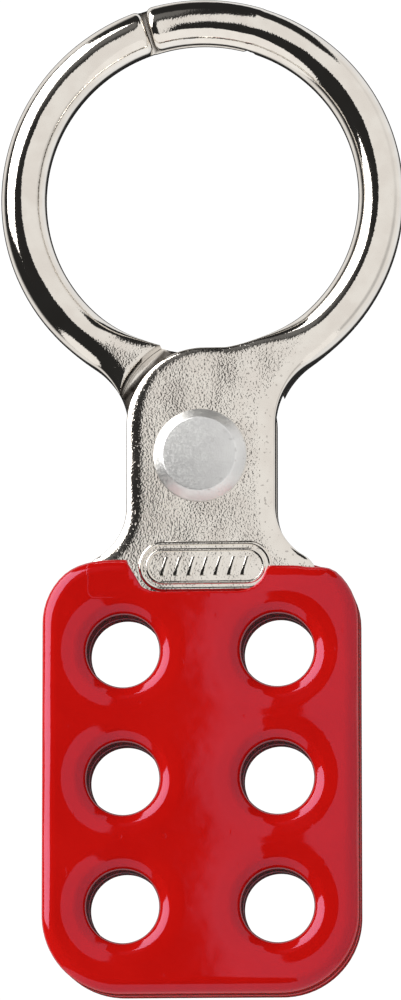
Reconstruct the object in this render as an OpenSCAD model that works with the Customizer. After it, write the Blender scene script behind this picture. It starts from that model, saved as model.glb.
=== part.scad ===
// Lockout hasp: two pressed-steel arms on one rivet, each with a dipped vinyl handle.
// +Z is up, -Y is the front, and the origin is the centre of the closed jaw opening.
// Shapes are drawn flat, with x to the right, y up and z towards the front, and then stood up.

/* [Jaw] */
// Clear diameter of the closed jaw
jaw_d = 38.1; // [36:0.1:40]
// Width of the jaw bar, measured outwards from the opening
bar_w = 5.5; // [5:0.1:6.5]
// Corner radius of the jaw bar's section
bar_round = 2.3; // [1:0.1:2.4]
// Angle of each lap tip past the top of the jaw
lap_tip = 16.5; // [8:0.5:24]
// Angle left free between a lap tip and the shoulder it closes against
lap_gap = 1.5; // [1:0.5:4]

/* [Arms] */
// Thickness of an arm's neck plate
plate_t = 3.2; // [2.8:0.1:3.4]
// Clear gap between the two arms
play = 0.2; // [0.1:0.05:0.4]
// Width of the neck
neck_w = 18; // [16:0.5:20]
// Height of the neck plate's top edge above the bottom of the opening
lip = 0.25; // [0.1:0.05:0.5]
// Radius of the neck plate's free top corner
corner_r = 9.4; // [8.5:0.1:10]
// Room between that corner and the other arm's shoulder
shoulder_gap = 1.5; // [0.8:0.1:2]
// Radius of the inside curve from the neck up to the jaw
upper_fillet = 8.9; // [8:0.1:9.5]
// Radius of the inside curve from the neck down to the handle
lower_fillet = 7; // [5:0.5:7]

/* [Pivot] */
// Drop of the rivet below the jaw's centre
pivot_drop = 32.1; // [31:0.1:34]
// Diameter of the rivet's shank
shank_d = 6; // [5:0.1:7]
// Running clearance round the shank, on the radius
shank_play = 0.05; // [0.02:0.01:0.1]
// Diameter of the rivet's heads
head_d = 11.3; // [10:0.1:12]
// Diameter of the flat on each head
head_flat_d = 8.9; // [8:0.1:9.5]
// Height of each head
head_h = 1.6; // [1.2:0.1:2]
// Height of the straight rim under each head's chamfer
head_rim = 0.35; // [0.2:0.05:0.6]

/* [Handle] */
// Width of the handle over its coating
handle_w = 38.1; // [37:0.1:40]
// Drop of the coating's top edge below the jaw's centre
handle_top = 44.35; // [44:0.05:46]
// Length of the coated handle
handle_l = 52.75; // [50:0.05:56]
// Radius of the handle's top corners
top_corner = 8; // [6:0.5:9]
// Radius of the handle's bottom corners
bottom_corner = 9.5; // [7:0.5:10]
// Thickness of the vinyl round the plate's edges, in its holes and on its inner face
coat_t = 0.9; // [0.6:0.1:1]
// Thickness of the vinyl on the plate's outer face
face_t = 1.6; // [1.2:0.1:1.6]
// Radius of the coating's outer edge
coat_round = 1.7; // [1:0.1:1.7]

/* [Lock holes] */
// Diameter of a lock hole through the coating
hole_d = 8.7; // [8:0.1:9]
// Spacing of the two columns of holes
hole_pitch_x = 18.6; // [18:0.1:19]
// Spacing of the three rows of holes
hole_pitch_y = 15.4; // [15:0.1:15.8]
// Drop of the top row of holes below the jaw's centre
hole_top = 55.8; // [55:0.1:56]
// Radius of the soft rim where a hole meets the outer face
hole_rim = 2.1; // [1.2:0.1:2.2]
// Radius of the rim where a hole meets the inner face
hole_inner_rim = 0.5; // [0.2:0.05:0.6]

/* [Badge pad] */
// Length of the blank raised badge
badge_l = 16.4; // [14:0.1:17]
// Height of the badge
badge_h = 6.2; // [5:0.1:6.5]
// Drop of the badge's centre below the jaw's centre
badge_drop = 45.6; // [45:0.1:46]
// Sideways place of the badge on its arm
badge_x = 0.5; // [0:0.1:0.8]
// Height of the badge above the plate
badge_rise = 0.35; // [0.2:0.05:0.5]
// Width of the badge's border
badge_border = 0.9; // [0.6:0.1:1.2]
// Margin left bare between the badge and the coating
badge_margin = 0.35; // [0.2:0.05:0.6]

/* [Hidden] */
$fn = 96;

nickel = "Gainsboro";
vinyl_red = "Red";
rivet_grey = "LightSlateGray";

jaw_r = jaw_d / 2;
bar_out_r = jaw_r + bar_w;
near = play / 2;             // depth of an arm's inner face
far = near + plate_t;        // depth of an arm's outer face
core_near = near + coat_t;   // depth of the handle core's inner face
coat_far = far + face_t;     // depth of the coating's outer face
reach = 100;                 // longer than anything that it cuts

neck_top = lip - jaw_r;
corner_at = [corner_r - neck_w / 2, neck_top - corner_r];
upper_x = neck_w / 2 + upper_fillet;
upper_y = -sqrt(pow(bar_out_r + upper_fillet, 2) - pow(upper_x, 2));
web_angle = atan2(upper_y, upper_x);

core_w = handle_w - 2 * coat_t;
core_top = -handle_top - coat_t;
core_bottom = coat_t - handle_top - handle_l;
lower_x = neck_w / 2 + lower_fillet;
lower_y = core_top + lower_fillet;

tip_angle = 90 + lap_tip;                // end of an arm's half-thick lap tongue
shoulder_angle = 90 - lap_tip - lap_gap; // end of its full-thick bar

module stand() { rotate([90, 0, 0]) children(); }
module turned() { rotate([0, 180, 0]) children(); }
module layer(z0, z1) { translate([0, 0, z0]) linear_extrude(z1 - z0) children(); }

// ---- Outlines ----

// Rectangle with its own radius at the top and at the bottom corners
module rounded_panel(w, y0, y1, r0, r1) {
    translate([-w / 2, y0 + r0]) square([w, y1 - y0 - r0 - r1]);
    translate([r0 - w / 2, y0]) square([w - 2 * r0, y1 - y0 - r1]);
    translate([r1 - w / 2, y0 + r0]) square([w - 2 * r1, y1 - y0 - r0]);
    for (s = [-1, 1]) {
        translate([s * (w / 2 - r0), y0 + r0]) circle(r0);
        translate([s * (w / 2 - r1), y1 - r1]) circle(r1);
    }
}

module stadium(l, h) {
    square([l - h, h], center = true);
    for (s = [-1, 1]) translate([s * (l - h) / 2, 0]) circle(h / 2);
}

// The jaw opening, flattened where the neck plate's top edge crosses it
module opening_outline() {
    intersection() {
        circle(jaw_r);
        translate([-reach / 2, neck_top]) square(reach);
    }
}

// Web that carries the neck's right side up into the jaw bar
module web_outline() {
    difference() {
        polygon([[0, upper_y], [upper_x, upper_y], [0, 0]]);
        translate([upper_x, upper_y]) circle(upper_fillet);
        opening_outline();
    }
}

module neck_outline() {
    translate([-neck_w / 2, -handle_top]) square([neck_w, corner_at.y + handle_top]);
    intersection() {
        translate(corner_at) circle(corner_r);
        translate([-reach, corner_at.y]) square([reach + corner_at.x, reach]);
    }
    web_outline();
    intersection() {
        foot_outline();
        translate([-reach / 2, -handle_top]) square(reach);
    }
}

// Curved foot where the neck widens into the handle
module foot_outline() {
    difference() {
        translate([-lower_x, core_top]) square([2 * lower_x, lower_fillet]);
        for (s = [-1, 1]) translate([s * lower_x, lower_y]) circle(lower_fillet);
    }
}

// The plate inside the coating, which goes up into the foot between its two corners
module core_outline() {
    rounded_panel(core_w, core_bottom, core_top, bottom_corner - coat_t, top_corner - coat_t);
    intersection() {
        foot_outline();
        translate([top_corner - handle_w / 2, core_top]) square([handle_w - 2 * top_corner, coat_t]);
    }
}

module at_lock_holes() {
    for (s = [-1, 1], row = [0:2])
        translate([s * hole_pitch_x / 2, -hole_top - row * hole_pitch_y, 0]) children();
}

// ---- Arm ----

module bar_section() {
    translate([jaw_r, bar_round - far]) square([bar_w, 2 * (far - bar_round)]);
    translate([jaw_r + bar_round, -far]) square([bar_w - 2 * bar_round, 2 * far]);
    for (x = [jaw_r + bar_round, bar_out_r - bar_round], s = [-1, 1])
        translate([x, s * (far - bar_round)]) circle(bar_round);
}

module tongue_section() {
    intersection() {
        bar_section();
        translate([0, near]) square(reach);
    }
}

// Full-thick bar, with a half-thick lap tongue that runs on from inside it
module jaw() {
    rotate_extrude(start = web_angle, angle = shoulder_angle - web_angle) bar_section();
    rotate_extrude(start = 0, angle = tip_angle) tongue_section();
}

// Full-thick part of the web, outside the circle swept by the other arm's corner
module shoulder() {
    layer(-far, far) difference() {
        web_outline();
        translate([-corner_at.x, corner_at.y]) circle(corner_r + shoulder_gap);
    }
}

module badge() {
    translate([badge_x, -badge_drop, 0]) {
        layer(far - badge_rise, far + badge_rise) difference() {
            stadium(badge_l, badge_h);
            stadium(badge_l - 2 * badge_border, badge_h - 2 * badge_border);
        }
    }
}

module arm() {
    difference() {
        union() {
            jaw();
            shoulder();
            layer(near, far) neck_outline();
            layer(core_near, far) core_outline();
        }
        translate([0, -pivot_drop, 0]) cylinder(h = reach, d = shank_d + 2 * shank_play, center = true);
        at_lock_holes() cylinder(h = reach, d = hole_d + 2 * coat_t, center = true);
    }
    badge();
}

// ---- Coating ----

// Handle panel whose outer edge is rounded all the way round, in a few steps of angle
module soft_panel() {
    steps = 5;
    hull() {
        layer(near, near + 1) handle_outline(0);
        for (i = [0:steps]) {
            inset = coat_round * (1 - cos(90 * i / steps));
            rise = coat_round * (1 - sin(90 * i / steps));
            layer(near, coat_far - rise) handle_outline(inset);
        }
    }
}

module handle_outline(inset) {
    rounded_panel(handle_w - 2 * inset, inset - handle_top - handle_l, -handle_top - inset,
        bottom_corner - inset, top_corner - inset, $fn = 32);
}

// Cutter of one lock hole: a straight throat that opens in soft rims
module lock_hole() {
    r = hole_d / 2;
    cylinder(h = reach, r = r, center = true);
    rotate_extrude() difference() {
        translate([0, coat_far - hole_rim]) square([r + hole_rim, hole_rim + 1]);
        translate([r + hole_rim, coat_far - hole_rim]) circle(hole_rim);
    }
    rotate_extrude() difference() {
        translate([0, near - 1]) square([r + hole_inner_rim, hole_inner_rim + 1]);
        translate([r + hole_inner_rim, near + hole_inner_rim]) circle(hole_inner_rim);
    }
}

// Part of the outer face that stays bare round the badge
module badge_window() {
    l = badge_l + 2 * badge_margin;
    h = badge_h + 2 * badge_margin;
    layer(far, far + reach) {
        translate([badge_x, -badge_drop]) stadium(l, h);
        translate([badge_x - l / 2, -badge_drop]) square([l, h]);
    }
}

module coat() {
    difference() {
        soft_panel();
        arm();
        badge_window();
        at_lock_holes() lock_hole();
    }
}

// ---- Rivet ----

module rivet_head() {
    cylinder(h = head_rim, d = head_d);
    translate([0, 0, head_rim]) cylinder(h = head_h - head_rim, d1 = head_d, d2 = head_flat_d);
}

module rivet() {
    translate([0, -pivot_drop, 0]) {
        translate([0, 0, -far]) cylinder(h = 2 * far + shank_play, d = shank_d);
        translate([0, 0, far + shank_play]) rivet_head();
        turned() translate([0, 0, far]) rivet_head();
    }
}

// ---- Sub-parts ----

module front_arm() { color(nickel) stand() arm(); }
module front_coat() { color(vinyl_red) stand() coat(); }
module rear_arm() { color(nickel) stand() turned() arm(); }
module rear_coat() { color(vinyl_red) stand() turned() coat(); }
module pivot_rivet() { color(rivet_grey) stand() rivet(); }

front_arm();
front_coat();
rear_arm();
rear_coat();
pivot_rivet();
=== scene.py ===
import math

import bmesh
import bpy
from mathutils import Matrix, Vector


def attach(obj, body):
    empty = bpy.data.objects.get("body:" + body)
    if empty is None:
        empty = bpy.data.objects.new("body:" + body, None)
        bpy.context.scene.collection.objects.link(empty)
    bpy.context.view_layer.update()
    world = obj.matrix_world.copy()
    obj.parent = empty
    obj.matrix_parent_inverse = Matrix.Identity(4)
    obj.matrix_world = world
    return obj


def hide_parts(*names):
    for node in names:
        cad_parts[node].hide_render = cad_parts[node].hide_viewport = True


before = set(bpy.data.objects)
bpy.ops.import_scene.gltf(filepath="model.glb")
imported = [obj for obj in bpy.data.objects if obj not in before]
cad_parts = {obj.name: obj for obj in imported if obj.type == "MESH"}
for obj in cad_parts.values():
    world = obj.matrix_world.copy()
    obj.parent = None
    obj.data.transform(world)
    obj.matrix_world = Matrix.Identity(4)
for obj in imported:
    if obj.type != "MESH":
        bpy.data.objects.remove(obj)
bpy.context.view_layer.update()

# Everything is drawn flat in millimetres, x to the right, y up and z towards the front, and then
# stood up in the row frame: drawing (x, y, z) becomes (x, -z, y) in metres.
MM = 0.001
STAND = Matrix(((MM, 0, 0, 0), (0, 0, -MM, 0), (0, MM, 0, 0), (0, 0, 0, 1)))
TURNED = Matrix.Rotation(math.pi, 4, "Y")
UP = Vector((0, 0, 1))

# ---- Sizes of the real thing ----
JAW_R = 19.05            # clear radius of the closed jaw
BAR_W = 5.5              # width of the jaw bar
OUT_R = JAW_R + BAR_W
NEAR = 0.1               # depth of an arm's inner face
FAR = 3.3                # depth of its outer face
NECK_X = 9.0             # half width of the neck
LIP_Y = -18.8            # top edge of the neck plate
CORNER = (0.4, -28.2)    # centre of the neck's free top corner
SHOULDER = (-0.4, -28.2) # the other arm's corner sweeps a circle about here
SHOULDER_R = 10.9
UPPER = (17.9, -28.26)   # centre of the curve from neck to jaw
UPPER_R = 8.9
WEB_ANGLE = -57.65       # where that curve meets the jaw bar
LOWER = (16.0, -38.25)   # centre of the curve from neck to handle
LAP_TIP = 106.5          # angle of the half-thick tongue's tip round the jaw
BAR_END = 72.0           # angle where the full-thick bar stops
LAP_SOFT = 0.8           # rounding of both cut ends at the lap
CORE_FRONT = 3.25        # the pierced plate inside the coating lies between these depths
CORE_BACK = 1.05
WELD = 0.003             # outline points closer than this are one

PIVOT_Y = -32.1
HOLE_R = 4.35            # lock holes, in two columns of three
HOLE_X = 9.3
HOLE_ROWS = (-55.8, -71.2, -86.6)
COAT_T = 0.9             # coating round the plate's edges and in its holes
FACE_T = 1.6             # coating on the outer face
COAT_FAR = FAR + FACE_T
COAT_X = 19.05           # half width of the coated handle
COAT_TOP = -44.35
COAT_BOTTOM = -97.1
COAT_TOP_R = 8.0
COAT_BOTTOM_R = 9.5
COAT_ROUND = 1.7         # round of its outer edge
RIM = 1.1                # radius of the soft rim where a hole meets the outer face
RIM_X = 6.03             # distance of that rim's centre from the hole's centre
RIM_JOIN = 35            # lean at which the rim runs into the funnel below it
RIM_DEPTH = 2.21
FUNNEL = 2.46            # radius of the funnel's own curve
INNER_RIM = 0.5
BADGE = (0.65, -45.6)
BADGE_L = 16.2
BADGE_H = 6.1

SPACING = 0.38           # distance between points along an outline
EPS = 1e-4


def smooth(a, b, x):
    """0 below a, 1 above b, with a soft run between them."""
    t = min(1.0, max(0.0, (x - a) / (b - a)))
    return t * t * (3 - 2 * t)


def mix(a, b, t):
    return a + (b - a) * t


def cosine_steps(n):
    """n + 1 values from 0 to 1, close together at both ends."""
    return [(1 - math.cos(math.pi * i / n)) / 2 for i in range(n + 1)]


def crown(u, power):
    """Height of a rounded edge, 0 at its foot and 1 from u = 1 inwards."""
    u = min(1.0, max(0.0, u))
    return (1 - (1 - u) ** power) ** (1 / power)


# ---- Mesh helpers ----

def verts_of(out):
    return [g for g in out if isinstance(g, bmesh.types.BMVert)]


def faces_of(out):
    return [g for g in out if isinstance(g, bmesh.types.BMFace)]


def edges_of(out):
    return [g for g in out if isinstance(g, bmesh.types.BMEdge)]


class Pen:
    """Draws a flat outline: arcs are spun and straight runs extruded."""

    def __init__(self, x, y):
        self.bm = bmesh.new()
        self.bm.verts.layers.float.new("depth")
        self.tip = self.bm.verts.new((x, y, 0))

    def arc(self, centre, degrees, spacing=SPACING):
        cx, cy = centre
        radius = math.hypot(self.tip.co.x - cx, self.tip.co.y - cy)
        steps = max(3, math.ceil(radius * math.radians(abs(degrees)) / spacing))
        out = bmesh.ops.spin(self.bm, geom=[self.tip], cent=(cx, cy, 0), axis=UP,
                             angle=math.radians(degrees), steps=steps)
        self.tip = verts_of(out["geom_last"])[0]

    def line(self, x, y, spacing=None):
        start, end = self.tip.co.copy(), Vector((x, y, 0))
        parts = max(1, round((end - start).length / spacing)) if spacing else 1
        for i in range(parts):
            out = bmesh.ops.extrude_vert_indiv(self.bm, verts=[self.tip])
            self.tip = out["verts"][0]
            self.tip.co = start.lerp(end, (i + 1) / parts)

    def face(self):
        """Closes the outline and fills it with one face that looks up."""
        bmesh.ops.remove_doubles(self.bm, verts=self.bm.verts[:], dist=WELD)
        filled = bmesh.ops.edgeloop_fill(self.bm, edges=self.bm.edges[:])["faces"][0]
        filled.normal_update()
        if filled.normal.z < 0:
            filled.normal_flip()
        return filled


def polar(x, y):
    return math.degrees(math.atan2(y, x))


def on_circle(r, degrees):
    return r * math.cos(math.radians(degrees)), r * math.sin(math.radians(degrees))


def thicken(bm, face):
    """Extrudes a lone face into a closed shell 1 mm high and returns its top and bottom faces."""
    top = faces_of(bmesh.ops.extrude_face_region(bm, geom=[face])["geom"])[0]
    for v in top.verts:
        v.co.z = 1
    return top, face


def inset_loops(bm, face, depths):
    """Insets a flat face to each depth in turn and notes on each point how deep it lies."""
    layer = bm.verts.layers.float["depth"]
    done = 0.0
    for d in depths:
        bmesh.ops.inset_region(bm, faces=[face], use_boundary=True, use_even_offset=True,
                               thickness=d - done, depth=0)
        done = d
        for v in face.verts:
            v[layer] = d
    return layer


def add_part(whole, part):
    """Adds one closed shell to the piece it belongs to."""
    bmesh.ops.recalc_face_normals(part, faces=part.faces[:])
    mesh = bpy.data.meshes.new("shell")
    part.to_mesh(mesh)
    part.free()
    whole.from_mesh(mesh)
    bpy.data.meshes.remove(mesh)


def round_cap(bm, face, radius, steps=6):
    """Rounds the edge of a bar's flat end by drawing it out in shrinking steps."""
    face.normal_update()
    along = face.normal.copy()
    centre = face.calc_center_median()
    half_z = max(abs(v.co.z - centre.z) for v in face.verts)
    last = (1.0, 1.0)
    for i in range(1, steps + 1):
        a = math.pi / 2 * i / steps
        inset, rise = radius * (1 - math.cos(a)), radius * math.sin(a)
        grown = faces_of(bmesh.ops.extrude_face_region(bm, geom=[face])["geom"])
        bmesh.ops.delete(bm, geom=[face], context="FACES")
        face = grown[0]
        flat = 1 - inset / (BAR_W / 2)
        deep = 1 - inset / half_z
        for v in face.verts:
            d = v.co - centre
            lift = d.dot(along)
            d -= along * lift
            d = Vector((d.x / last[0], d.y / last[0], d.z / last[1]))
            v.co = centre + Vector((d.x * flat, d.y * flat, d.z * deep)) + along * rise
        last = (flat, deep)


def make_piece(name, bm, material, body, node, turned=False, crease=38):
    """Stands a finished piece up in the frame and says what it belongs to."""
    bmesh.ops.transform(bm, matrix=STAND @ TURNED if turned else STAND, verts=bm.verts[:])
    bmesh.ops.triangulate(bm, faces=[f for f in bm.faces if len(f.verts) > 4])
    for f in bm.faces:
        f.smooth = True
    for e in bm.edges:
        e.smooth = len(e.link_faces) == 2 and e.calc_face_angle(0) < math.radians(crease)
    mesh = bpy.data.meshes.new(name)
    bm.to_mesh(mesh)
    bm.free()
    mesh.materials.append(material)
    piece = bpy.data.objects.new(name, mesh)
    bpy.context.scene.collection.objects.link(piece)
    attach(piece, body)
    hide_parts(node)
    return piece


# ---- Arms ----

EDGE_NECK = 2.0          # width of the neck plate's crowned edge
NECK_DROP = 0.75         # how far that edge falls away
EDGE_LIP = 1.1           # the same two along its top edge
LIP_DROP = 0.5
EDGE_BAR = BAR_W / 2 - 0.1
SHOULDER_EDGE = 0.6      # edge round of the shoulder wall
INNER_EASE = 0.3         # softened inner edge where the two arms face each other


def barness(x, y):
    """0 on the neck plate, 1 on the jaw bar, blended across the web."""
    a = polar(x, y)
    return smooth(-72, -48, a) if a > -100 else 0.0


def shared(x, y):
    """True where the arm runs on to its full thickness behind its own inner face."""
    if polar(x, y) > BAR_END:
        return False
    sx, sy = SHOULDER
    return y > -24.5 and math.hypot(x - sx, y - sy) > SHOULDER_R - 0.02


def skin_height(x, y, depth):
    """Height of an arm's outer skin above its inner face at a depth in from the outline."""
    t = barness(x, y)
    ease = 0.0 if shared(x, y) else INNER_EASE
    top = smooth(-27, -19.5, y)
    foot = mix(FAR - mix(NECK_DROP, LIP_DROP, top), NEAR + ease + 0.2, t)
    run = mix(mix(EDGE_NECK, EDGE_LIP, top), EDGE_BAR, t)
    return foot + (FAR - foot) * crown(depth / run, 2.0)


def arm_outline():
    """Outline of the half-thick layer: handle foot, neck, web, jaw bar and lap tongue."""
    lx, ly = LOWER
    tip_angle, last_angle = LAP_TIP + 9.5, LAP_TIP + 0.8
    blend = 3.0          # radius of the hidden corners under the coating
    hx, hy = 11.0, -46.91
    pen = Pen(-hx, hy - blend)
    pen.line(hx, hy - blend)
    pen.arc((hx, hy), 150)
    pen.arc((lx, ly), -60)
    pen.line(NECK_X, UPPER[1], SPACING)
    pen.arc(UPPER, WEB_ANGLE)
    pen.arc((0, 0), last_angle - WEB_ANGLE)
    pen.line(*on_circle(OUT_R, tip_angle))
    pen.line(*on_circle(JAW_R, tip_angle))
    pen.line(*on_circle(JAW_R, last_angle))
    lip_angle = math.degrees(math.asin(LIP_Y / JAW_R))
    pen.arc((0, 0), lip_angle - last_angle)
    pen.line(CORNER[0], LIP_Y, SPACING)
    pen.arc(CORNER, 90)
    pen.line(-NECK_X, ly, SPACING)
    pen.arc((-lx, ly), -60)
    pen.arc((-hx, hy), 150)
    return pen


def layer_shell():
    """The whole arm's front layer, from its inner face to its rounded outer face."""
    pen = arm_outline()
    bm = pen.bm
    top, bottom = thicken(bm, pen.face())
    steps = 15
    depths = [EDGE_BAR * (1 - math.cos(math.pi / 2 * i / steps)) for i in range(1, steps + 1)]
    depth = inset_loops(bm, top, depths)
    inset_loops(bm, bottom, [INNER_EASE])
    for v in bm.verts:
        if v.co.z > 0.5:
            v.co.z = skin_height(v.co.x, v.co.y, v[depth])
        else:
            v.co.z = NEAR + (0.0 if v[depth] or shared(v.co.x, v.co.y) else INNER_EASE)

    # The tongue is cut off square at its tip and its end softened.
    cut = LAP_TIP - math.degrees(LAP_SOFT / (JAW_R + BAR_W / 2))
    nx, ny = on_circle(1, cut + 90)
    tongue = [f for f in bm.faces if f not in (top, bottom)
              and polar(*f.calc_center_median().xy) > cut - 20]
    area = set(tongue) | {top, bottom}
    area |= {e for f in area for e in f.edges} | {v for f in area for v in f.verts}
    ends = [g for g in area if not isinstance(g, bmesh.types.BMVert) or g.co.y > 0]
    ends = [g for g in ends if not isinstance(g, bmesh.types.BMEdge)
            or all(v.co.y > 0 for v in g.verts)]
    bmesh.ops.bisect_plane(bm, geom=ends, plane_co=(0, 0, 0), plane_no=(nx, ny, 0))
    spare = [v for v in bm.verts if v.co.y > 0 and v.co.x < 0
             and v.co.x * nx + v.co.y * ny > EPS]
    bmesh.ops.delete(bm, geom=spare, context="VERTS")
    rim = [e for e in bm.edges if e.is_boundary]
    cap = bmesh.ops.edgeloop_fill(bm, edges=rim)["faces"][0]
    cap.normal_update()
    if cap.normal.x * nx + cap.normal.y * ny < 0:
        cap.normal_flip()
    round_cap(bm, cap, LAP_SOFT)

    # Below the coating's top edge the inner face steps up, to lie inside the coating.
    for y in (-44.45, -44.55):
        low = [f for f in bm.faces if min(v.co.y for v in f.verts) < -40]
        area = set(low) | {e for f in low for e in f.edges} | {v for f in low for v in f.verts}
        bmesh.ops.bisect_plane(bm, geom=list(area), plane_co=(0, y, 0), plane_no=(0, 1, 0))
    for v in bm.verts:
        if v.co.y < -44.5 and v.co.z < CORE_BACK:
            v.co.z = CORE_BACK
    return bm


def arm_bar():
    """Full-thick bar and web as a sheet of stations, given the same skin and closed."""
    bm = bmesh.new()
    place = bm.verts.layers.float.new("across")
    across = cosine_steps(26)
    start = BAR_END - math.degrees(LAP_SOFT / (JAW_R + BAR_W / 2))
    first = []
    for share in across:
        v = bm.verts.new((*on_circle(JAW_R + BAR_W * share, start), 0))
        v[place] = share
        first.append(v)
    line = [bm.edges.new(pair) for pair in zip(first, first[1:])]
    turn = start - WEB_ANGLE
    steps = math.ceil(OUT_R * math.radians(turn) / SPACING)
    out = bmesh.ops.spin(bm, geom=first + line, cent=(0, 0, 0), axis=UP,
                         angle=-math.radians(turn), steps=steps)
    edge = edges_of(out["geom_last"])

    inner_to = -74.9
    outer_to = Vector((9.83, -24.44))
    sc, uc = Vector(SHOULDER), Vector(UPPER)
    sweep_from = polar(*(Vector(on_circle(JAW_R, inner_to)) - sc))
    sweep_to = polar(*(outer_to - sc))
    curve_from = polar(*(Vector(on_circle(OUT_R, WEB_ANGLE)) - uc))
    curve_to = polar(*(outer_to - uc)) % 360

    def station(s, v):
        """Point of the web at s along it (0 at the bar) and v across it (0 at the opening)."""
        inside = Vector(on_circle(JAW_R, mix(WEB_ANGLE, inner_to, s)))
        outside = uc + Vector(on_circle(UPPER_R, mix(curve_from, curve_to, s)))
        swept = sc + Vector(on_circle(SHOULDER_R, mix(sweep_from, sweep_to, v)))
        chord = (sc + Vector(on_circle(SHOULDER_R, sweep_from))).lerp(
            sc + Vector(on_circle(SHOULDER_R, sweep_to)), v)
        return inside.lerp(outside, v) + (swept - chord) * s * s

    web_steps = 34
    for i in range(1, web_steps + 1):
        s = math.sin(math.pi / 2 * i / web_steps)
        out = bmesh.ops.extrude_edge_only(bm, edges=edge)["geom"]
        edge = edges_of(out)
        for v in verts_of(out):
            v.co.x, v.co.y = station(s, v[place])

    sheet = bm.faces[:]
    top = faces_of(bmesh.ops.extrude_face_region(bm, geom=sheet)["geom"])
    lifted = {v for f in top for v in f.verts}
    for v in bm.verts:
        x, y = v.co.x, v.co.y
        if v not in lifted:
            v.co.z = -NEAR
            continue
        r = math.hypot(x, y)
        outer = OUT_R - r if polar(x, y) > WEB_ANGLE else (v.co.xy - uc).length - UPPER_R
        side = min(r - JAW_R, outer)
        t = barness(x, y)
        end = ((v.co.xy - sc).length - SHOULDER_R) / SHOULDER_EDGE
        foot = mix(FAR - NECK_DROP, NEAR + 0.2, t)
        run = mix(EDGE_NECK, EDGE_BAR, t)
        near_shoulder = crown(min(side / run, end), 2.0)
        v.co.z = -(foot + (FAR - foot) * near_shoulder)
    bmesh.ops.recalc_face_normals(bm, faces=bm.faces[:])
    tx, ty = on_circle(1, start + 90)
    for f in bm.faces:
        f.normal_update()
    ends = [f for f in bm.faces if f.normal.x * tx + f.normal.y * ty > 0.99
            and all(abs(v.co.x * tx + v.co.y * ty) < EPS for v in f.verts)]
    cap = bmesh.ops.dissolve_faces(bm, faces=ends)["region"][0]
    round_cap(bm, cap, LAP_SOFT)
    return bm


def core_shell():
    """The pierced plate inside the coating."""
    x, r0, r1 = COAT_X - COAT_T, COAT_BOTTOM_R - COAT_T, COAT_TOP_R - COAT_T
    top, bottom = COAT_TOP - COAT_T - 0.05, COAT_BOTTOM + COAT_T
    pen = Pen(-x + r0, bottom)
    pen.line(x - r0, bottom)
    pen.arc((x - r0, bottom + r0), 90, 1)
    pen.line(x, top - r1)
    pen.arc((x - r1, top - r1), 90, 1)
    pen.line(-x + r1, top)
    pen.arc((-x + r1, top - r1), 90, 1)
    pen.line(-x, bottom + r0)
    pen.arc((-x + r0, bottom + r0), 90, 1)
    bm = pen.bm
    bmesh.ops.remove_doubles(bm, verts=bm.verts[:], dist=WELD)
    for side in (-1, 1):
        for y in HOLE_ROWS:
            bmesh.ops.create_circle(bm, segments=40, radius=HOLE_R + COAT_T,
                                    matrix=Matrix.Translation((side * HOLE_X, y, 0)))
    bmesh.ops.triangle_fill(bm, use_beauty=True, edges=bm.edges[:])
    top_faces = faces_of(bmesh.ops.extrude_face_region(bm, geom=bm.faces[:])["geom"])
    lifted = {v for f in top_faces for v in f.verts}
    for v in bm.verts:
        v.co.z = CORE_FRONT if v in lifted else CORE_BACK
    return bm


def badge_shells(whole):
    """Blank badge: a raised pad with two thin ridges round a row of slanted bars."""
    cx, cy = BADGE
    half, r = (BADGE_L - BADGE_H) / 2, BADGE_H / 2
    pen = Pen(cx - half, cy - r)
    pen.line(cx + half, cy - r, SPACING)
    pen.arc((cx + half, cy), 180)
    pen.line(cx - half, cy + r, SPACING)
    pen.arc((cx - half, cy), 180)
    bm = pen.bm
    top, _ = thicken(bm, pen.face())
    pad, ridge, field = 0.12, 0.36, 0.1
    profile = [(0.1, pad), (0.16, ridge - 0.04), (0.24, ridge), (0.36, ridge),
               (0.44, ridge - 0.04), (0.52, pad), (0.86, pad), (0.94, ridge - 0.04),
               (1.02, ridge), (1.14, ridge), (1.22, ridge - 0.04), (1.3, field), (1.6, field)]
    depth = inset_loops(bm, top, [d for d, _ in profile])
    for v in bm.verts:
        if v.co.z > 0.5:
            rises = [rise for d, rise in profile if abs(d - v[depth]) < 1e-3]
            v.co.z = FAR + (rises[0] if rises else pad * 0.4)
        else:
            v.co.z = FAR - 0.2
    add_part(whole, bm)

    bars, pitch, lean, height = 7, 1.62, 0.7, 2.3
    for i in range(bars):
        bm = bmesh.new()
        bmesh.ops.create_cube(bm, size=1)
        bmesh.ops.scale(bm, vec=(0.72, height, 0.5), verts=bm.verts[:])
        bmesh.ops.bevel(bm, geom=bm.edges[:], offset=0.12, offset_type="OFFSET",
                        affect="EDGES", segments=2, profile=0.5, material=-1)
        slant = Matrix.Shear("XZ", 4, (0, 0))
        slant[0][1] = lean / height
        place = Matrix.Translation((cx + (i - (bars - 1) / 2) * pitch, cy, FAR + 0.06))
        bmesh.ops.transform(bm, matrix=place @ slant, verts=bm.verts[:])
        add_part(whole, bm)


def gap_shade_at(x, y, z):
    """Painted shade on the inner faces, where the two arms lie against each other, and in the
    shoulder's corner.
    """
    if shared(x, y):
        swept = math.hypot(x - SHOULDER[0], y - SHOULDER[1]) - SHOULDER_R
        return 1 - smooth(-0.05, SHOULDER_EDGE * 0.6, swept) if y < -16 and z < 0 else 0.0
    return 1 - smooth(0.15, 0.35, abs(z))


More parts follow.
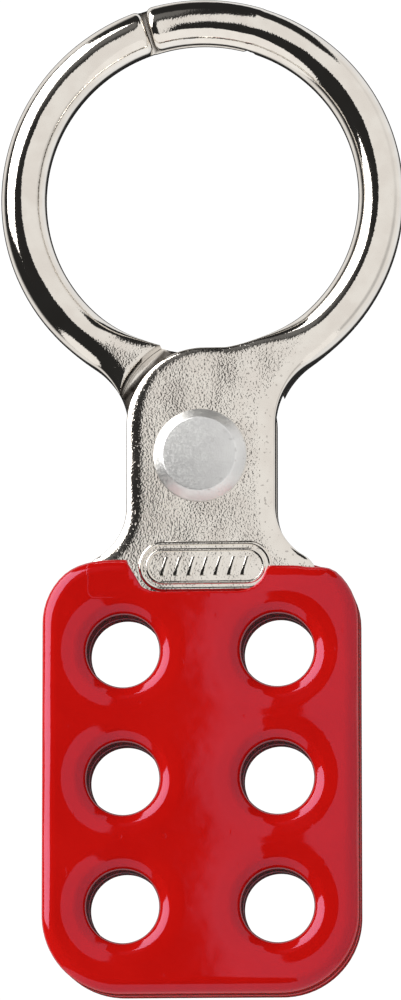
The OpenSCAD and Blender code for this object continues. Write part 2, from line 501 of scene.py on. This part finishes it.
def make_arm(name, material, body, node, turned):
    """One arm: front layer, full-thick bar, pierced plate and badge."""
    whole = bmesh.new()
    add_part(whole, layer_shell())
    add_part(whole, arm_bar())
    add_part(whole, core_shell())
    badge_shells(whole)
    grain = whole.verts.layers.float.new("grain")
    # Mask of painted shade: 1 on the inner faces and in the shoulder's corner, where the nickel is
    # darkened.
    gap_shade = whole.verts.layers.float.new("gap_shade")
    for v in whole.verts:
        x, y, z = v.co
        flat = smooth(FAR - 0.45, FAR - 0.02, abs(z))
        badge = smooth(FAR + 0.03, FAR + 0.08, z)
        v[grain] = flat * (1 - barness(x, y)) * mix(1.0, 0.5, smooth(-7, 6, x)) * (1 - badge * 0.6)
        v[gap_shade] = gap_shade_at(x, y, z)
    return make_piece(name, whole, material, body, node, turned)


# ---- Coatings ----

def panel_depth(x, y):
    """Distance in from the coated handle's outline, positive inside."""
    middle = (COAT_TOP + COAT_BOTTOM) / 2
    r = COAT_TOP_R if y > middle else COAT_BOTTOM_R
    dx = abs(x) - (COAT_X - r)
    dy = abs(y - middle) - ((COAT_TOP - COAT_BOTTOM) / 2 - r)
    outside = math.hypot(max(dx, 0), max(dy, 0))
    return r - outside - min(max(dx, dy), 0)


def outward(x, y):
    """Direction straight out of the handle's outline."""
    h = 1e-3
    gx = panel_depth(x - h, y) - panel_depth(x + h, y)
    gy = panel_depth(x, y - h) - panel_depth(x, y + h)
    return Vector((gx, gy)).normalized()


def half_turn_angles(corners):
    """Angles from 0 to 180, every 4.5 degrees, with the nearest ones moved to the corners."""
    angles = [4.5 * i for i in range(41)]
    for c in corners:
        i = min(range(1, 40), key=lambda j: abs(angles[j] - c))
        angles[i] = c
    return angles


def rim_point(lean):
    """Radius and height on a hole's funnel where its skin leans back by an angle."""
    a = math.radians(lean)
    if lean > RIM_JOIN:
        return HOLE_R + FUNNEL * (1 - math.sin(a)), COAT_FAR - RIM_DEPTH + FUNNEL * math.cos(a)
    return RIM_X - RIM * math.sin(a), COAT_FAR - RIM * (1 - math.cos(a))


def cell(bm, side, row):
    """One hole and the part of the outer face round it, ring by ring from the inner rim."""
    cy = HOLE_ROWS[row]
    above = (HOLE_ROWS[row - 1] + cy) / 2 if row else None
    below = (HOLE_ROWS[row + 1] + cy) / 2 if row < 2 else None
    edge_x = COAT_X - COAT_ROUND - HOLE_X
    half = (HOLE_ROWS[0] - HOLE_ROWS[1]) / 2

    def corner_angles(free_edge):
        if free_edge is None:
            return [polar(edge_x, half), polar(-HOLE_X, half)]
        return [polar(-HOLE_X, abs(free_edge - cy))]

    up = corner_angles(COAT_TOP - COAT_ROUND if row == 0 else None)
    down = corner_angles(COAT_BOTTOM + COAT_ROUND if row == 2 else None)
    angles = half_turn_angles(up) + [-a for a in half_turn_angles(down)[-2:0:-1]]
    rays = [Vector(on_circle(1, a)) for a in angles]

    def reach(ray):
        """Distance along a ray to the next cell or to the start of the rounded edge."""
        far = 30.0
        if ray.x < -EPS:
            far = min(far, HOLE_X / -ray.x)
        if above is not None and ray.y > EPS:
            far = min(far, (above - cy) / ray.y)
        if below is not None and ray.y < -EPS:
            far = min(far, (cy - below) / -ray.y)
        low, high = 5.0, far
        if panel_depth(HOLE_X + ray.x * far, cy + ray.y * far) > COAT_ROUND - EPS:
            return far
        for _ in range(40):
            mid = (low + high) / 2
            if panel_depth(HOLE_X + ray.x * mid, cy + ray.y * mid) > COAT_ROUND:
                low = mid
            else:
                high = mid
        return low

    far = [reach(ray) for ray in rays]
    quarter = [math.pi / 2 * i / 10 for i in range(11)]
    rings = [(HOLE_R + INNER_RIM * (1 - math.sin(a)), NEAR + INNER_RIM * (1 - math.cos(a)))
             for a in quarter[::2]]
    rings.append((HOLE_R, 1.3))
    rings += [rim_point(lean) for lean in (90, 84, 78, 72, 66, 60, 55, 50, 45, 40, 35, 30, 25,
                                           20, 15, 10, 5, 0)]
    face_steps = 14
    made = bmesh.ops.create_circle(bm, segments=len(rays), radius=1)["verts"]
    place = dict(enumerate(made))
    total = len(rings) + face_steps
    layer = bm.verts.layers.int["ray"]
    for k, v in place.items():
        v[layer] = k
    ring = list({e for v in made for e in v.link_edges})
    verts = made
    for n in range(total):
        if n:
            out = bmesh.ops.extrude_edge_only(bm, edges=ring)["geom"]
            ring, verts = edges_of(out), verts_of(out)
        for v in verts:
            k = v[layer]
            if n < len(rings):
                r, z = rings[n]
            else:
                share = (n - len(rings) + 1) / face_steps
                r, z = mix(rings[-1][0], far[k], share), COAT_FAR
            v.co = (side * (HOLE_X + rays[k].x * r), cy + rays[k].y * r, z)


DISH = 0.15              # how deep the face sinks round a hole
CREST_PITCH = 15.2       # length of one wave of the crown down the middle
RISE = 0.13              # height of the face between the right-hand holes
SINK = 0.09              # the whole face lies this much under the coating's full depth


def relief(x, y):
    """Unevenness of the dipped face, with a soft dish round each hole."""
    out = 0.0
    for hx in (-HOLE_X, HOLE_X):
        for hy in HOLE_ROWS:
            r = math.hypot(x - hx, y - hy)
            out -= DISH * (1 - smooth(5.4, 7.5, r))
    # A faint crown that waves down the middle, and a rise between the right-hand holes.
    crest = -0.9 + 1.1 * math.cos(math.tau * (y + 63.3) / CREST_PITCH) + 0.03 * (-60.0 - y)
    out += (0.0026 + 0.00158 * crest) * x - 0.0005 * x * x - SINK
    for between in (-63.5, -78.9):
        out += RISE * smooth(6.5, 14.5, x) * math.exp(-((y - between) / 2.2) ** 2)
    return out


def window_corners():
    """Lower edge of the part left bare round the badge, from left to right."""
    points = [Vector((-9.9, -43.2)), Vector((-8.6, -45.4))]
    for x, angles in ((-4.9, range(195, 271, 15)), (4.6, range(270, 351, 16))):
        points += [Vector((x, -45.2)) + Vector(on_circle(3.6, a)) for a in angles]
    return points + [Vector((9.3, -43.0))]


WINDOW_X = 14.0          # the bare window lies inside these limits
WINDOW_Y = -52.0
OUTER_FACE_Z = 3.0       # everything higher belongs to the outer face
LIP = 0.3                # softened lip round the window


def carve_window(bm):
    """Opens the outer face down to the steel round the badge, with a softened lip."""
    corners = window_corners()
    sides = []
    for a, b in zip(corners, corners[1:]):
        run = (b - a).normalized()
        sides.append((a, Vector((run.y, -run.x))))

    def off(x, y):
        return max((Vector((x, y)) - a).dot(n) for a, n in sides)

    for grow in (LIP, 0.22, 0.14, 0.07, 0.02, 0.0):
        inside = [f for f in bm.faces if f.calc_center_median().y > WINDOW_Y
                  and abs(f.calc_center_median().x) < WINDOW_X
                  and f.calc_center_median().z > OUTER_FACE_Z]
        for a, n in sides:
            area = set(inside) | {e for f in inside for e in f.edges}
            area |= {v for f in inside for v in f.verts}
            point = a + n * grow
            out = bmesh.ops.bisect_plane(bm, geom=list(area), dist=1e-5,
                                         plane_co=(*point, 0), plane_no=(*n, 0))
            inside = [f for f in faces_of(out["geom"])
                      if (f.calc_center_median().xy - point).dot(n) < 0]
    for v in {v for f in bm.faces for v in f.verts
              if v.co.z > OUTER_FACE_Z and v.co.y > WINDOW_Y}:
        d = off(v.co.x, v.co.y)
        if d < LIP:
            u = 1 - max(d, 0) / LIP
            v.co.z -= LIP * (1 - math.sqrt(max(0.0, 1 - u * u)))
    moved = verts_of(bmesh.ops.extrude_face_region(bm, geom=inside)["geom"])
    bmesh.ops.delete(bm, geom=inside, context="FACES")
    for v in moved:
        v.co.z = min(v.co.z, FAR - 0.1)
    near = [v for v in bm.verts if v.co.y > -50]
    bmesh.ops.remove_doubles(bm, verts=near, dist=EPS)


def make_coat(name, material, body, node, turned):
    """One coating: six hole cells, the edge round them and the bare window."""
    bm = bmesh.new()
    bm.verts.layers.int.new("ray")
    for side in (-1, 1):
        for row in range(3):
            cell(bm, side, row)
    bmesh.ops.remove_doubles(bm, verts=bm.verts[:], dist=0.002)

    # The rounded edge, side wall and inner edge go round the whole outline together.
    ring = [e for e in bm.edges if e.is_boundary and e.verts[0].co.z > 1]
    steps, ease = 8, 0.7
    wall = []
    for i in range(1, steps + 1):
        a = math.pi / 2 * i / steps
        wall.append((COAT_ROUND * math.sin(a), COAT_FAR - COAT_ROUND * (1 - math.cos(a))))
    for i in range(8):
        a = math.pi / 2 * i / 7
        wall.append((COAT_ROUND - ease * (1 - math.cos(a)), NEAR + ease * (1 - math.sin(a))))
    travelled = 0.0
    for out_by, z in wall:
        made = bmesh.ops.extrude_edge_only(bm, edges=ring)["geom"]
        ring = edges_of(made)
        for v in verts_of(made):
            n = outward(v.co.x, v.co.y)
            v.co.x += n.x * (out_by - travelled)
            v.co.y += n.y * (out_by - travelled)
            v.co.z = z
        travelled = out_by
    for v in bm.verts:
        x, y, z = v.co
        v.co.z += relief(x, y) * smooth(COAT_FAR - 1.3, COAT_FAR - 0.1, z)
    # The dip line runs slightly downhill to the right.
    for v in bm.verts:
        lower = mix(0.35, 1.25, smooth(-10.5, 11, v.co.x)) * (1 - smooth(12.5, 17, abs(v.co.x)))
        v.co.y -= lower * smooth(-50, -44.6, v.co.y)
    bmesh.ops.triangle_fill(bm, use_beauty=True, edges=[e for e in bm.edges if e.is_boundary])
    bmesh.ops.recalc_face_normals(bm, faces=bm.faces[:])
    carve_window(bm)
    bmesh.ops.recalc_face_normals(bm, faces=bm.faces[:])
    # Mask of painted shade on the hole walls: full at the bore, fading out within 0.3 mm of it.
    throat = bm.verts.layers.float.new("throat")
    for v in bm.verts:
        r = min(math.hypot(abs(v.co.x) - HOLE_X, v.co.y - y) for y in HOLE_ROWS)
        v[throat] = 1 - smooth(HOLE_R + 0.02, HOLE_R + 0.3, r)
    return make_piece(name, bm, material, body, node, turned)


# ---- Rivet ----

def make_rivet(material):
    """The rivet, spun from its profile, with a chamfered head at each end."""
    head_r, flat_r, shank = 5.65, 4.45, 3.0
    rim, rise = 0.35, 1.6
    front, back = FAR + 0.05, -FAR
    points = [(0, back - rise), (flat_r, back - rise), (head_r, back - rim), (head_r, back),
              (shank, back), (shank, front), (head_r, front), (head_r, front + rim),
              (flat_r, front + rise), (0, front + rise)]
    bm = bmesh.new()
    tip = bm.verts.new((points[0][0], 0, points[0][1]))
    for r, z in points[1:]:
        out = bmesh.ops.extrude_vert_indiv(bm, verts=[tip])
        tip = out["verts"][0]
        tip.co = (r, 0, z)
    bmesh.ops.spin(bm, geom=bm.verts[:] + bm.edges[:], cent=(0, 0, 0), axis=UP,
                   angle=math.tau, steps=96, use_merge=True)
    bmesh.ops.remove_doubles(bm, verts=bm.verts[:], dist=EPS)
    bmesh.ops.recalc_face_normals(bm, faces=bm.faces[:])
    hard = [e for e in bm.edges if len(e.link_faces) == 2
            and e.calc_face_angle(0) > math.radians(25)]
    bmesh.ops.bevel(bm, geom=hard, offset=0.13, offset_type="OFFSET", affect="EDGES",
                    segments=3, profile=0.5, material=-1, clamp_overlap=True)
    bmesh.ops.translate(bm, vec=(0, PIVOT_Y, 0), verts=bm.verts[:])
    return make_piece("rivet", bm, material, "rear_half", "pivot_rivet")


# ---- Materials ----

NECK_LEAN = 0.019        # slope added to the shaded normal of the plating; the mesh doesn't lean


class Value:
    """One shader output that takes part in ordinary arithmetic."""

    def __init__(self, graph, socket):
        self.graph, self.socket = graph, socket

    def _math(self, operation, *others):
        return self.graph.add("ShaderNodeMath", {i: o for i, o in enumerate(others)},
                              operation=operation)

    def __add__(self, other): return self._math("ADD", self, other)
    def __radd__(self, other): return self._math("ADD", other, self)
    def __sub__(self, other): return self._math("SUBTRACT", self, other)
    def __rsub__(self, other): return self._math("SUBTRACT", other, self)
    def __mul__(self, other): return self._math("MULTIPLY", self, other)
    def __rmul__(self, other): return self._math("MULTIPLY", other, self)
    def __truediv__(self, other): return self._math("DIVIDE", self, other)
    def __pow__(self, other): return self._math("POWER", self, other)
    def larger(self, other): return self._math("MAXIMUM", self, other)
    def smaller(self, other): return self._math("MINIMUM", self, other)

    def ramp(self, low, high, to_low=0.0, to_high=1.0, soft=True):
        """Maps low..high to to_low..to_high, clamped."""
        return self.graph.add("ShaderNodeMapRange", {
            "Value": self, "From Min": low, "From Max": high,
            "To Min": to_low, "To Max": to_high},
            interpolation_type="SMOOTHSTEP" if soft else "LINEAR", clamp=True)


class Graph:
    """The node tree of one material or of the world."""

    def __init__(self, owner):
        owner.use_nodes = True
        self.tree = owner.node_tree
        self.tree.nodes.clear()

    def put(self, value, socket):
        if isinstance(value, Value):
            self.tree.links.new(value.socket, socket)
        else:
            socket.default_value = value

    def add(self, kind, inputs=None, out=0, **settings):
        node = self.tree.nodes.new(kind)
        for name, value in settings.items():
            setattr(node, name, value)
        for key, value in (inputs or {}).items():
            self.put(value, node.inputs[key])
        return Value(self, node.outputs[out])

    def mix_colour(self, factor, a, b):
        node = self.tree.nodes.new("ShaderNodeMix")
        node.data_type = "RGBA"
        for name, value in (("Factor_Float", factor), ("A_Color", a), ("B_Color", b)):
            self.put(value, next(s for s in node.inputs if s.identifier == name))
        return Value(self, next(s for s in node.outputs if s.identifier == "Result_Color"))

    def noise(self, where, scale, detail=2.0, roughness=0.5):
        return self.add("ShaderNodeTexNoise", {
            "Vector": where, "Scale": scale, "Detail": detail, "Roughness": roughness},
            out="Fac")

    def parts(self, vector):
        node = self.tree.nodes.new("ShaderNodeSeparateXYZ")
        self.put(vector, node.inputs[0])
        return [Value(self, s) for s in node.outputs]

    def bump(self, height, strength, distance, normal=None):
        inputs = {"Height": height, "Strength": strength, "Distance": distance}
        if normal is not None:
            inputs["Normal"] = normal
        return self.add("ShaderNodeBump", inputs, out="Normal")


def colour(r, g, b):
    return (r, g, b, 1.0)


def new_material(name):
    material = bpy.data.materials.new(name)
    return material, Graph(material)


def surface(graph, **inputs):
    """Ends a material with one Principled shader."""
    named = {key.replace("_", " "): value for key, value in inputs.items()}
    shader = graph.add("ShaderNodeBsdfPrincipled", named, out="BSDF")
    end = graph.tree.nodes.new("ShaderNodeOutputMaterial")
    graph.put(shader, end.inputs["Surface"])


def nickel():
    """Bright nickel over a forging: sandy on the flat neck, nearly polished on the jaws."""
    material, g = new_material("nickel_plate")
    where = g.add("ShaderNodeTexCoord", out="Object")
    grain = g.add("ShaderNodeAttribute", attribute_name="grain", out="Fac")
    gap_shade = g.add("ShaderNodeAttribute", attribute_name="gap_shade", out="Fac")
    x = g.parts(where)[0]
    sand = g.noise(where, 3600, 1.0, 0.5)
    grit = g.noise(where, 6000, 0.0, 0.0)
    waves = g.noise(where, 160, 1.0, 0.4)
    pits = g.noise(where, 3000, 0.0, 0.0).ramp(0.70, 0.78)
    height = (sand + grit * 0.4) * (grain * 0.33 + 0.10) - pits * grain * 0.3
    lean = g.bump(x * -NECK_LEAN, 1.0, 1.0)
    coarse = g.bump(waves, 0.25, 0.0005, lean)
    normal = g.bump(height, 0.8, 0.00006, coarse)
    tone = g.noise(where, 420, 2.0, 0.5).ramp(0.3, 0.7)
    base = g.mix_colour(tone, colour(0.88, 0.85, 0.80), colour(0.82, 0.78, 0.73))
    pitted = g.mix_colour(pits * grain * 0.85, base, colour(0.12, 0.10, 0.09))
    streak = g.noise(where, 700, 2.0, 0.6).ramp(0.3, 0.7, 0.75, 1.0)
    # Painted shade: a dark brown, broken into streaks, is laid over the inner faces and the
    # shoulder's corner, which are also made rougher.
    darkened_colour = g.mix_colour(gap_shade * streak, pitted, colour(0.065, 0.052, 0.042))
    rough = (0.045 + grain * 0.05 + waves.ramp(0.35, 0.7, 0.0, 0.03) + pits * grain * 0.2
             + gap_shade * 0.25)
    surface(g, Base_Color=darkened_colour, Metallic=1.0, Roughness=rough, Normal=normal)
    return material


def vinyl():
    """Thick glossy dipped vinyl: deep red, slightly uneven, with fine dust in the gloss."""
    material, g = new_material("red_vinyl")
    where = g.add("ShaderNodeTexCoord", out="Object")
    swell = g.noise(where, 90, 1.0, 0.4)
    ripple = g.noise(where, 420, 1.0, 0.4)
    fine = g.noise(where, 2600, 1.0, 0.5)
    dust = g.noise(where, 900, 0.0, 0.0).ramp(0.80, 0.84)
    x, _, z = g.parts(where)
    off_x, off_z = (-0.0126 - x).larger(0.0), (-0.0486 - z).larger(0.0)
    off = (off_x * off_x + off_z * off_z) ** 0.5 - 0.0009
    foot = (off * off).ramp(0.0, 1.2e-8, 1.0, 0.0) * x.ramp(-0.0098, -0.0112)
    normal = g.bump(foot, 0.5, 0.00003)
    normal = g.bump(swell, 0.1, 0.0001, normal)
    normal = g.bump(ripple + fine * 0.05 + dust * 1.5, 0.2, 0.00002, normal)
    tone = g.noise(where, 130, 3.0, 0.5).ramp(0.3, 0.7)
    base = g.mix_colour(tone, colour(0.455, 0.0046, 0.0030), colour(0.49, 0.0058, 0.0038))
    # Painted shade: the hole walls are darkened to a deep maroon and made rougher.
    throat = g.add("ShaderNodeAttribute", attribute_name="throat", out="Fac")
    base = g.mix_colour(throat * 0.8, base, colour(0.10, 0.001, 0.006))
    rough = (0.04 + fine.ramp(0.45, 0.8, 0.0, 0.025) + ripple.ramp(0.4, 0.7, 0.0, 0.012)
             + throat * 0.08)
    surface(g, Base_Color=base, Metallic=0.0, Roughness=rough, Normal=normal, IOR=1.5,
            Specular_Tint=colour(1.0, 0.62, 1.0))
    return material


def rivet_steel():
    """Turned steel head, satin, with faint tool rings and small pits."""
    material, g = new_material("rivet_steel")
    where = g.add("ShaderNodeTexCoord", out="Object")
    x, _, z = g.parts(where)
    rise = z - PIVOT_Y * MM
    radius = (x * x + rise * rise) ** 0.5
    rings = g.add("ShaderNodeMath", {0: radius * 21000.0}, operation="SINE")
    sand = g.noise(where, 3600, 2.0, 0.6)
    pits = g.noise(where, 1300, 1.0, 0.4).ramp(0.66, 0.76)
    normal = g.bump(rings * 0.05 + sand * 0.5 - pits * 0.15, 0.4, 0.00003)
    tone = g.noise(where, 500, 2.0, 0.5).ramp(0.3, 0.7)
    base = g.mix_colour(tone, colour(0.93, 0.945, 0.95), colour(0.86, 0.87, 0.88))
    darkened_colour = g.mix_colour(pits * 0.25, base, colour(0.35, 0.34, 0.33))
    rough = 0.40 + sand.ramp(0.4, 0.7, 0.0, 0.12) + pits * 0.1
    surface(g, Base_Color=darkened_colour, Metallic=1.0, Roughness=rough, Normal=normal)
    return material


def pale_floor():
    material, g = new_material("pale_floor")
    where = g.add("ShaderNodeTexCoord", out="Object")
    tone = g.noise(where, 3.0, 2.0, 0.5)
    base = g.mix_colour(tone, colour(0.86, 0.86, 0.86), colour(0.82, 0.82, 0.82))
    surface(g, Base_Color=base, Roughness=0.8)
    return material


# ---- Build the object ----

metal, red, steel = nickel(), vinyl(), rivet_steel()
make_arm("front_jaw_and_neck", metal, "front_half", "front_arm", False)
make_arm("rear_jaw_and_neck", metal, "rear_half", "rear_arm", True)
make_coat("front_handle_coating", red, "front_half", "front_coat", False)
make_coat("rear_handle_coating", red, "rear_half", "rear_coat", True)
make_rivet(steel)

# ---- Floor ----

FLOOR_Z = -0.26
FLOOR_R = 1.6
floor_bm = bmesh.new()
bmesh.ops.create_circle(floor_bm, cap_ends=True, segments=96, radius=FLOOR_R,
                        matrix=Matrix.Translation((0, 0, FLOOR_Z)))
floor_mesh = bpy.data.meshes.new("floor")
floor_bm.to_mesh(floor_mesh)
floor_bm.free()
floor_mesh.materials.append(pale_floor())
floor = bpy.data.objects.new("floor", floor_mesh)
bpy.context.scene.collection.objects.link(floor)
floor.visible_glossy = False

# ---- Studio ----

STRIP_LEVEL = 5.0        # brightness of the narrow strip light
SKY_LEVEL = 1.05         # brightness of the plain backdrop


def studio():
    """Soft boxes and dark gaps by direction. Azimuth 0 is in front and 90 to the right."""
    world = bpy.data.worlds.new("studio")
    bpy.context.scene.world = world
    g = Graph(world)
    x, y, z = g.parts(g.add("ShaderNodeTexCoord", out="Generated"))
    degrees = 180 / math.pi
    az = g.add("ShaderNodeMath", {0: x, 1: 0.0 - y}, operation="ARCTAN2") * degrees
    el = g.add("ShaderNodeMath", {0: z}, operation="ARCSINE") * degrees

    def past(value, soft=1.2):
        """0 below zero and 1 above it."""
        return value.ramp(-soft, soft)

    strip = (past(az + 85.0 + el / 3.0, 2.5) * past(1.15 * el - az - 55.0, 2.0)
             * past(-31.0 - az) * past(el + 23.0 + 0.3 * az) * past(56.5 - el, 1.6))
    box_left = (el - 14.0).larger(0.0) ** 2.0 * 0.012 + (4.0 - el).larger(0.0) * 0.35 - 4.6
    box_top = ((az - 62.0).larger(0.0) * 0.22).smaller(9.0) + 50.5
    low_part = past(box_top - el, 1.5).larger(past(38.0 - az, 5.0) * past(66.0 - el, 2.5))
    line = az.ramp(74.0, 90.0) * az.ramp(108.0, 92.0) * el.ramp(22.0, -12.0, 0.1, 0.38)
    box = past(az - box_left, 0.1) * low_part * (1.0 - line)
    left_back = az.ramp(-106.0, -126.0) * past(60.0 - el, 8.0)
    grey = az.ramp(-36.0, -28.0) * az.ramp(-3.0, -10.0) * el.ramp(12.0, 32.0) * past(60.0 - el, 4.0)
    table = past(-34.5 - el - (az + 20.0).ramp(-30.0, 10.0) * 4.0, 1.0)
    straight_back = y.ramp(math.cos(math.radians(42)), math.cos(math.radians(27)))
    light = (left_back * 0.82).larger(box * 0.85).larger(grey * 0.13).larger(table * 0.95)
    light = (light + 0.022) * (1.0 - straight_back * 0.97) + strip * STRIP_LEVEL
    tint = g.mix_colour(past(az - 120.0, 10.0), colour(1.0, 0.975, 0.945), colour(1, 1, 1))
    shade = g.add("ShaderNodeBackground", {"Color": tint, "Strength": light})
    plain = g.add("ShaderNodeBackground", {"Color": colour(1, 1, 1), "Strength": SKY_LEVEL})
    seen = g.add("ShaderNodeLightPath", out="Is Camera Ray")
    both = g.add("ShaderNodeMixShader", {0: seen, 1: shade, 2: plain})
    end = g.tree.nodes.new("ShaderNodeOutputWorld")
    g.put(both, end.inputs["Surface"])


studio()

scene = bpy.context.scene
scene.view_settings.view_transform = "Standard"

# ---- Camera ----

TARGET = Vector((-0.00022, 0.0, -0.03705))
CAMERA_AZIMUTH, CAMERA_ELEVATION, CAMERA_DISTANCE = 4.5, -8.5, 0.860
CAMERA_LENS = 255.9
camera_data = bpy.data.cameras.new("camera")
camera_data.sensor_width = 36.0
camera_data.lens = CAMERA_LENS
camera = bpy.data.objects.new("camera", camera_data)
scene.collection.objects.link(camera)
az, el = math.radians(CAMERA_AZIMUTH), math.radians(CAMERA_ELEVATION)
back = Vector((math.sin(az) * math.cos(el), -math.cos(az) * math.cos(el), math.sin(el)))
camera.location = TARGET + back * CAMERA_DISTANCE
camera.rotation_mode = "QUATERNION"
camera.rotation_quaternion = (-back).to_track_quat("-Z", "Y")
camera_data.dof.use_dof = False
scene.camera = camera
